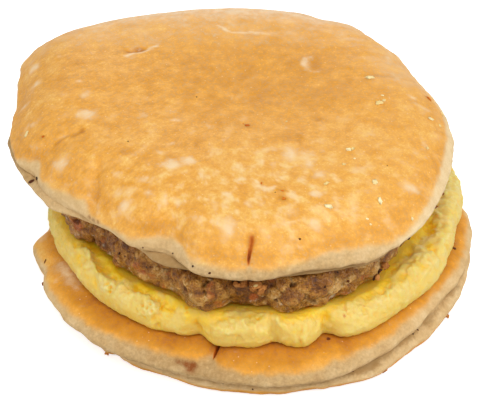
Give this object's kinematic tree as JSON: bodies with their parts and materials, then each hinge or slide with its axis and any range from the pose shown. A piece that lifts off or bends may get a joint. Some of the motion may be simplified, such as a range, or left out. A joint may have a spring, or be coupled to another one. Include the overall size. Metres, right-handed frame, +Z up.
{
  "type": "breakfast sandwich",
  "caption": "Breakfast sandwich of griddle pancakes holding a folded egg round and a fried sausage patty, stacked slightly askew and resting on a flat base.",
  "frame": {"origin": "middle of the lower pancake's flat underside, on the surface where the sandwich rests", "axes": "+Z up through the layers, -Y the front that the picture shows, +X to the right seen from the front"},
  "size_m": [0.106, 0.1067, 0.0408],
  "materials": {
    "griddled_crust": "golden griddled batter, matte to faintly silky, with paler spongy sides",
    "set_egg": "moist pale yellow cooked egg, softly glossy, folded and bubbly",
    "fried_sausage": "grey-brown fried minced sausage, craggy, with a greasy sheen"
  },
  "bodies": {
    "root": {"pancake_lower": "griddled_crust", "egg_round": "set_egg", "sausage_patty": "fried_sausage", "pancake_upper": "griddled_crust"}
  },
  "joints": []
}
